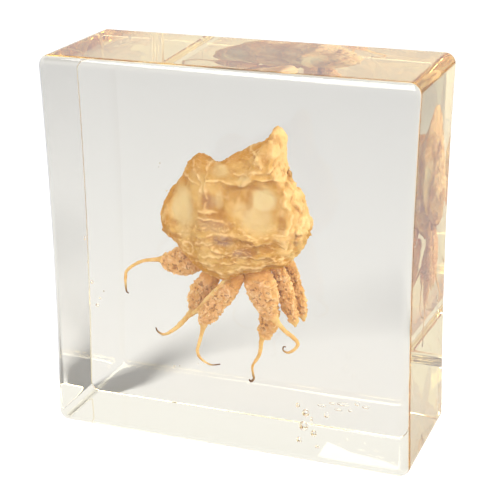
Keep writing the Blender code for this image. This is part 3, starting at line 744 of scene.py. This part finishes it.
def frills(points, lobe, number):
    """The height of an arm's frills at its points, and how deep in a cleft each lies, for the shade painted
    there.
    """
    height, cleft = np.zeros(len(points)), np.zeros(len(points))
    frilled = np.flatnonzero(lobe > 0)
    places = points[frilled]
    bends = [rough_noise(places / FRILL_BEND_SIZE, octaves=2, seed=seed) for seed in FRILL_BEND_SEEDS]
    places += FRILL_BEND * np.stack(bends, axis=1)
    for index, (size, tall, deep) in enumerate(FRILLS):
        away = cell_distance(places / size, ARM_SEED_STEP * number + FRILL_SEED_STEP * index)
        height[frilled] += tall * (FRILL_LEVEL - away)
        cleft[frilled] = np.maximum(cleft[frilled], deep * ramp(away, *CLEFT_EDGE))
    return height, cleft


def build_arm(number, route, material):
    """A lobe covered in small frills that ends in a bare filament."""
    name = f"arm_frills_{number}"
    mesh, halves, travel = arm_mesh(number, route, name)
    points, normals = places_of(mesh), normals_of(mesh)
    lobe = ramp(halves, FILAMENT_RADIUS, FILAMENT_RADIUS + LOBE_RISE)
    root = 1 - ramp(travel, *ROOT_SHARE)
    frill_height, cleft = frills(points, lobe, number)
    knots = THREAD_ROUGHNESS * halves * rough_noise(points / THREAD_KNOT_SIZE, octaves=3, seed=71)
    height = lobe * (1 - ROOT_CALM * root) * (frill_height - FRILL_SINK) + (1 - lobe) * knots
    move_to(mesh, points + normals * height[:, None])

    tip = ramp(travel, *TIP_SHARE) * (number in THREADED_ARMS)
    paint(mesh, "lobe", lobe)
    paint(mesh, "root", root * lobe)
    # Painted shade in the clefts between the frills, less at the root
    paint(mesh, "cleft", cleft * lobe * (1 - ROOT_CALM * root))
    # Painted highlight on the tops of the frills
    paint(mesh, "tuft_highlight", ramp(frill_height, *TUFT_HEIGHTS) * lobe)
    # Painted shade on skin that faces the front or back, so the arm's edges stay lighter; more specks are put
    # there too
    paint(mesh, "middle", ramp(np.abs(normals[:, 1]), *FACING_FRONT) * lobe * (1 - root))
    paint(mesh, "tip", tip * (1 - lobe))
    arm = new_object(name, mesh, material)
    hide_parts(f"oral_arm_{number}")
    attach(arm, "root")


def rounded_outline(width, height, inset):
    """The block's outline seen from the front, moved in by a distance, as (x, z)."""
    half, radius = width / 2, CORNER_RADIUS
    right, top = half - radius, height - radius
    arc = np.linspace(0, math.pi / 2, CORNER_STEPS + 1)
    round_x, round_z = (radius - inset) * np.cos(arc), (radius - inset) * np.sin(arc)
    side_z = np.linspace(radius, top, SIDE_STEPS + 1)[1:-1]
    side_z = np.concatenate([[radius + FLAT_RIM], side_z, [top - FLAT_RIM]])
    points = [(half - inset, z) for z in side_z]
    points += [(right + x, top + z) for x, z in zip(round_x, round_z)]
    points += [(x, height - inset) for x in (right - FLAT_RIM, FLAT_RIM - right)]
    points += [(-right - x, top + z) for x, z in zip(round_x[::-1], round_z[::-1])]
    points += [(inset - half, z) for z in side_z[::-1]]
    points += [(-right - x, radius - z) for x, z in zip(round_x, round_z)]
    points += [(x, inset) for x in (FLAT_RIM - right, right - FLAT_RIM)]
    points += [(right + x, radius - z) for x, z in zip(round_x[::-1], round_z[::-1])]
    points = np.array(points)
    points[:, 0] -= np.sign(points[:, 0]) * SIDE_HOLLOW * (1 - (2 * points[:, 1] / height - 1) ** 2)
    return points


def rounded_edge(radius):
    """Steps round an edge, as (how far in from the outline, how far from the face)."""
    turns = np.linspace(0, math.pi / 2, EDGE_STEPS + 1)
    rim = [(radius * (1 - math.sin(t)), radius * (1 - math.cos(t))) for t in turns]
    return [(radius + FLAT_RIM, 0.0)] + rim + [(0.0, radius + FLAT_RIM)]


def add_bubbles(bm):
    """Closed voids, with their faces turned to the resin's inside."""
    for halves, place in BUBBLES:
        size = Matrix.Diagonal([half * MM for half in halves]).to_4x4()
        where = Matrix.Translation(Vector(place) * MM) @ size
        made = bmesh.ops.create_icosphere(bm, subdivisions=BUBBLE_STEPS, radius=1.0, matrix=where)
        shell = {face for vert in made["verts"] for face in vert.link_faces}
        bmesh.ops.reverse_faces(bm, faces=list(shell))


def build_resin(material):
    """The whole block in one clear piece, with hollow sides and rounded edges."""
    low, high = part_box("resin_front")[0] / MM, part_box("resin_back")[1] / MM
    width, height = 2 * high.x, high.z
    width *= width / (2 * rounded_outline(width, height, 0.0)[:, 0].max())
    levels = [(inset, low.y + y) for inset, y in rounded_edge(FRONT_EDGE_RADIUS)]
    levels += [(inset, high.y - y) for inset, y in reversed(rounded_edge(BACK_EDGE_RADIUS))]
    bm = bmesh.new()
    loops = []
    for inset, y in levels:
        outline = rounded_outline(width, height, inset)
        loops.append([bm.verts.new((x * MM, y * MM, z * MM)) for x, z in outline])
    for one, two in zip(loops, loops[1:]):
        for k in range(len(one)):
            after = (k + 1) % len(one)
            bm.faces.new((one[k], one[after], two[after], two[k]))
    bm.faces.new(loops[0])
    bm.faces.new(loops[-1])
    bmesh.ops.recalc_face_normals(bm, faces=bm.faces)
    add_bubbles(bm)
    mesh = bpy.data.meshes.new("resin_block")
    bm.to_mesh(mesh)
    bm.free()
    mesh.shade_smooth()
    block = new_object("resin_block", mesh, material)
    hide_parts("resin_front", "resin_back")
    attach(block, "root")


class Nodes:
    """Short calls that build a node tree."""

    def __init__(self, owner):
        owner.use_nodes = True
        self.tree = owner.node_tree
        self.tree.nodes.clear()

    def add(self, kind, inputs=None, **settings):
        made = self.tree.nodes.new(kind)
        for name, value in settings.items():
            setattr(made, name, value)
        for name, value in (inputs or {}).items():
            if isinstance(value, bpy.types.NodeSocket):
                self.tree.links.new(value, made.inputs[name])
            else:
                made.inputs[name].default_value = value
        return made

    def read(self, name):
        return self.add("ShaderNodeAttribute", attribute_name=name).outputs["Fac"]

    def noise(self, scale, detail, where):
        inputs = {"Scale": scale, "Detail": detail, "Vector": where}
        return self.add("ShaderNodeTexNoise", inputs).outputs["Fac"]

    def patches(self, kind, where):
        """Soft patches of noise, from 0 to 1."""
        scale, detail, start, full = kind
        return self.span(self.noise(scale, detail, where), start, full)

    def tint(self, colour, tints):
        """The colour turned to each tint where the stored value that it names is high."""
        for name, strength, tint in tints:
            share = self.sum("MULTIPLY", self.read(name), strength)
            colour = self.mix(share, colour, srgb(tint))
        return colour

    def where(self):
        return self.add("ShaderNodeTexCoord").outputs["Object"]

    def sum(self, kind, a, b):
        return self.add("ShaderNodeMath", {0: a, 1: b}, operation=kind).outputs[0]

    def span(self, value, low, high, to_low=0.0, to_high=1.0):
        inputs = {"Value": value, "From Min": low, "From Max": high, "To Min": to_low, "To Max": to_high}
        return self.add("ShaderNodeMapRange", inputs, interpolation_type="SMOOTHSTEP").outputs[0]

    def mix(self, share, a, b):
        """Two colours, or sockets that give them, mixed by a share from 0 to 1."""
        made = self.add("ShaderNodeMix", data_type="RGBA")
        for slot, value in ((0, share), (6, a), (7, b)):
            if isinstance(value, bpy.types.NodeSocket):
                self.tree.links.new(value, made.inputs[slot])
            elif slot == 0:
                made.inputs[slot].default_value = value
            else:
                made.inputs[slot].default_value = (*value, 1.0)
        return made.outputs[2]

    def finish(self, surface, volume=None):
        out = self.add("ShaderNodeOutputMaterial", {"Surface": surface})
        if volume:
            self.tree.links.new(volume, out.inputs["Volume"])


def srgb(colour):
    """A linear colour from the 0 to 255 numbers that a screen shows."""
    shares = [number / 255 for number in colour]
    return tuple(share / 12.92 if share <= 0.04045 else ((share + 0.055) / 1.055) ** 2.4 for share in shares)


def bump(nodes, height, strength_and_distance):
    strength, distance = strength_and_distance
    inputs = {"Height": height, "Strength": strength, "Distance": distance}
    return nodes.add("ShaderNodeBump", inputs).outputs["Normal"]


def resin_material():
    made = bpy.data.materials.new("clear_resin")
    nodes = Nodes(made)
    shader = nodes.add("ShaderNodeBsdfPrincipled", {
        "Base Color": WHITE, "Transmission Weight": 1.0, "IOR": RESIN_IOR, "Roughness": 0.0,
        "Normal": bump(nodes, nodes.noise(*RESIN_WAVES, nodes.where()), RESIN_BUMP),
    })
    strongest = max(RESIN_ABSORBS)
    colour = [1 - absorbed / strongest for absorbed in RESIN_ABSORBS]
    volume = nodes.add("ShaderNodeVolumeAbsorption", {"Color": (*colour, 1.0), "Density": strongest})
    # The lamps shine straight through, which spares the noise of bent light
    from_lamp = nodes.add("ShaderNodeLightPath").outputs["Is Shadow Ray"]
    through = nodes.add("ShaderNodeBsdfTransparent", {"Color": RESIN_SHADOW})
    both = nodes.add("ShaderNodeMixShader", {0: from_lamp, 1: shader.outputs[0], 2: through.outputs[0]})
    nodes.finish(both.outputs[0], volume.outputs[0])
    return made


def flesh(nodes, colour, grain):
    """Dull skin that lets some light through."""
    shader = nodes.add("ShaderNodeBsdfPrincipled", {
        "Base Color": colour, "Roughness": FLESH_ROUGHNESS, "Specular IOR Level": FLESH_SPECULAR,
        "Subsurface Weight": FLESH_SUBSURFACE, "Subsurface Radius": FLESH_SUBSURFACE_COLOURS,
        "Subsurface Scale": FLESH_SUBSURFACE_REACH, "Normal": bump(nodes, grain, FLESH_BUMP),
    })
    through = nodes.add("ShaderNodeBsdfTranslucent", {"Color": colour})
    inputs = {0: TRANSLUCENT_SHARE, 1: shader.outputs[0], 2: through.outputs[0]}
    nodes.finish(nodes.add("ShaderNodeMixShader", inputs).outputs[0])


def bell_material():
    made = bpy.data.materials.new("bell_membrane")
    nodes = Nodes(made)
    where = nodes.where()
    colour = nodes.mix(nodes.patches(BELL_BLOTCHES, where), *map(srgb, BELL_TONES))
    colour = nodes.tint(colour, BELL_TINTS)
    cloudy = nodes.span(nodes.noise(*MAUVE_CLOUDS, where), *MAUVE_CLOUD_SPAN)
    colour = nodes.mix(nodes.sum("MULTIPLY", cloudy, nodes.read("mauve")), colour, srgb(MAUVE))
    colour = nodes.tint(colour, [CREST_TINT])
    flesh(nodes, colour, nodes.noise(*BELL_GRAIN, where))
    return made


def arm_material():
    made = bpy.data.materials.new("frilled_arm")
    nodes = Nodes(made)
    where = nodes.where()
    tone = nodes.patches(ARM_BLOTCHES, where)
    frill = nodes.mix(tone, *map(srgb, FRILL_TONES))
    frill = nodes.tint(frill, FRILL_TINTS)
    speckled = nodes.sum("ADD", nodes.read("middle"), SPECKS_OFF_MIDDLE)
    specks = nodes.sum("MULTIPLY", nodes.patches(ARM_SPECKS, where), speckled)
    frill = nodes.mix(nodes.sum("MULTIPLY", specks, SPECK_STRENGTH), frill, srgb(SPECK))
    frill = nodes.tint(frill, TUFT_TINTS)
    thread = nodes.mix(tone, *map(srgb, THREAD_TONES))
    thread = nodes.mix(nodes.read("tip"), thread, srgb(THREAD_TIP))
    skin = nodes.mix(nodes.read("lobe"), thread, frill)
    flesh(nodes, skin, nodes.noise(*ARM_GRAIN, where))
    return made


def square_mesh(name, size):
    bm = bmesh.new()
    bmesh.ops.create_grid(bm, x_segments=1, y_segments=1, size=size / 2)
    mesh = bpy.data.meshes.new(name)
    bm.to_mesh(mesh)
    bm.free()
    return mesh


def floor_material():
    """White to the camera. Through the resin it is plain, and falls off into grey with the light."""
    made = bpy.data.materials.new("floor")
    nodes = Nodes(made)
    seen = nodes.add("ShaderNodeLightPath").outputs["Is Camera Ray"]
    dull = nodes.add("ShaderNodeBsdfDiffuse", {"Color": nodes.mix(seen, FLOOR_TONE, FLOOR_SEEN_TONE)})
    strength = nodes.sum("MULTIPLY", seen, FLOOR_SEEN_GLOW)
    glow = nodes.add("ShaderNodeEmission", {"Color": WHITE, "Strength": strength})
    nodes.finish(nodes.add("ShaderNodeAddShader", {0: dull.outputs[0], 1: glow.outputs[0]}).outputs[0])
    return made


def build_floor(material):
    floor = new_object("floor", square_mesh("floor", FLOOR_SIZE), material)
    floor.location.z = -FLOOR_DROP * MM


def build_shade(material):
    """A strip behind the block that only blocks the floor's lamp, and is never seen."""
    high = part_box("resin_back")[1]
    left, right, top = -high.x, high.x, high.z
    places = [(left + end * MM, height * MM) for height, _, end in LEFT_SHADE]
    places += [(right, top - TOP_SHADE[1] * MM), (right, top), (left + TOP_SHADE[0] * MM, top)]
    places += [(left + start * MM, height * MM) for height, start, _ in reversed(LEFT_SHADE)]
    bm = bmesh.new()
    bm.faces.new([bm.verts.new((x, high.y + SHADE_GAP * MM, z)) for x, z in places])
    mesh = bpy.data.meshes.new("shade")
    bm.to_mesh(mesh)
    bm.free()
    shade = new_object("shade", mesh, material)
    shade.visible_camera = False
    shade.visible_diffuse = False
    shade.visible_glossy = False
    shade.visible_transmission = False


def direction(azimuth, elevation):
    """Towards something so many degrees to the right of straight in front, and up."""
    azimuth, elevation = math.radians(azimuth), math.radians(elevation)
    level = math.cos(elevation)
    return Vector((math.sin(azimuth) * level, -math.cos(azimuth) * level, math.sin(elevation)))


def panel_material():
    """Bright, but never to light that has met the floor, which it would fill with noise."""
    made = bpy.data.materials.new("panel")
    nodes = Nodes(made)
    met_floor = nodes.add("ShaderNodeLightPath").outputs["Diffuse Depth"]
    strength = nodes.sum("MULTIPLY", nodes.sum("LESS_THAN", met_floor, 0.5), PANEL_STRENGTH)
    glow = nodes.add("ShaderNodeEmission", {"Color": WHITE, "Strength": strength})
    nodes.finish(glow.outputs[0])
    made.cycles.emission_sampling = "NONE"
    return made


def build_panel(material):
    """Seen only in the resin's reflections."""
    panel = new_object("panel", square_mesh("panel", 1.0), material)
    panel.scale = (*PANEL_SIZE, 1.0)
    towards = direction(PANEL_AZIMUTH, PANEL_ELEVATION)
    panel.location = PANEL_DISTANCE * towards
    panel.rotation_euler = towards.to_track_quat("Z", "Y").to_euler()
    panel.visible_camera = False
    panel.visible_diffuse = False
    panel.visible_shadow = False


def build_lamp(name, azimuth, elevation, radius, power, lit, state, blocked_by=None):
    """A round lamp that lights only, or all but, some objects."""
    towards = direction(azimuth, elevation)
    data = bpy.data.lights.new(name, "AREA")
    data.shape = "DISK"
    data.size = 2 * radius
    data.energy = power
    data.cycles.use_multiple_importance_sampling = False
    lamp = bpy.data.objects.new(name, data)
    lamp.location = LAMP_DISTANCE * towards + Vector(LAMP_AIM)
    lamp.rotation_euler = towards.to_track_quat("Z", "Y").to_euler()
    bpy.context.scene.collection.objects.link(lamp)
    chosen = bpy.data.collections.new(f"{name}_receivers")
    for obj in lit:
        chosen.objects.link(obj)
    for entry in chosen.collection_objects:
        entry.light_linking.link_state = state
    lamp.light_linking.receiver_collection = chosen
    if blocked_by:
        blocks = bpy.data.collections.new(f"{name}_blockers")
        blocks.objects.link(blocked_by)
        lamp.light_linking.blocker_collection = blocks


def build_light():
    """Soft light from all round, less from above, and round lamps in front.

    The floor has a key light of its own, which leaves out the jellyfish's shadow, because the
    photo's softer light hides it.
    """
    world = bpy.data.worlds.new("studio")
    bpy.context.scene.world = world
    nodes = Nodes(world)
    way = nodes.add("ShaderNodeTexCoord").outputs["Generated"]
    up = nodes.add("ShaderNodeSeparateXYZ", {0: way}).outputs["Z"]
    level = nodes.span(up, *WORLD_SPAN, *WORLD_LEVELS)
    soft = nodes.add("ShaderNodeBackground", {"Color": WORLD_TONE, "Strength": level})
    white = nodes.add("ShaderNodeBackground", {"Color": WHITE, "Strength": 1.0})
    seen = nodes.add("ShaderNodeLightPath").outputs["Is Camera Ray"]
    both = nodes.add("ShaderNodeMixShader", {0: seen, 1: soft.outputs[0], 2: white.outputs[0]})
    nodes.add("ShaderNodeOutputWorld", {"Surface": both.outputs[0]})
    world.cycles.sampling_method = "NONE"

    floor, shade = bpy.data.objects["floor"], bpy.data.objects["shade"]
    build_lamp(*FLOOR_LAMP, [floor], "INCLUDE", shade)
    for lamp in JELLYFISH_LAMPS:
        build_lamp(*lamp, [floor, shade], "EXCLUDE")


def build_camera():
    back, roll = direction(CAMERA_AZIMUTH, CAMERA_ELEVATION), math.radians(CAMERA_ROLL)
    right = Vector((0, 0, 1)).cross(back).normalized()
    up = back.cross(right)
    turned_right = math.cos(roll) * right + math.sin(roll) * up
    turned_up = math.cos(roll) * up - math.sin(roll) * right
    data = bpy.data.cameras.new("camera")
    data.lens = CAMERA_LENS
    data.sensor_width = 36.0
    data.clip_start = 0.01
    camera = bpy.data.objects.new("camera", data)
    turn = Matrix((turned_right, turned_up, back)).transposed().to_4x4()
    camera.matrix_world = Matrix.Translation(Vector(CAMERA_PLACE) * MM) @ turn
    bpy.context.scene.collection.objects.link(camera)
    bpy.context.scene.camera = camera


def set_up_view():
    scene = bpy.context.scene
    scene.view_settings.view_transform = "Standard"
    scene.cycles.max_bounces = 32
    scene.cycles.diffuse_bounces = 5
    scene.cycles.glossy_bounces = 24
    scene.cycles.transmission_bounces = 24
    scene.cycles.blur_glossy = 0.0
    scene.cycles.use_denoising = True


build_camera()
set_up_view()
stage_material = floor_material()
build_floor(stage_material)
build_shade(stage_material)
build_panel(panel_material())
build_light()
build_resin(resin_material())
build_bell(bell_material())
arm_skin = arm_material()
for index, arm_route in enumerate(ORAL_ARMS):
    build_arm(index + 1, arm_route, arm_skin)
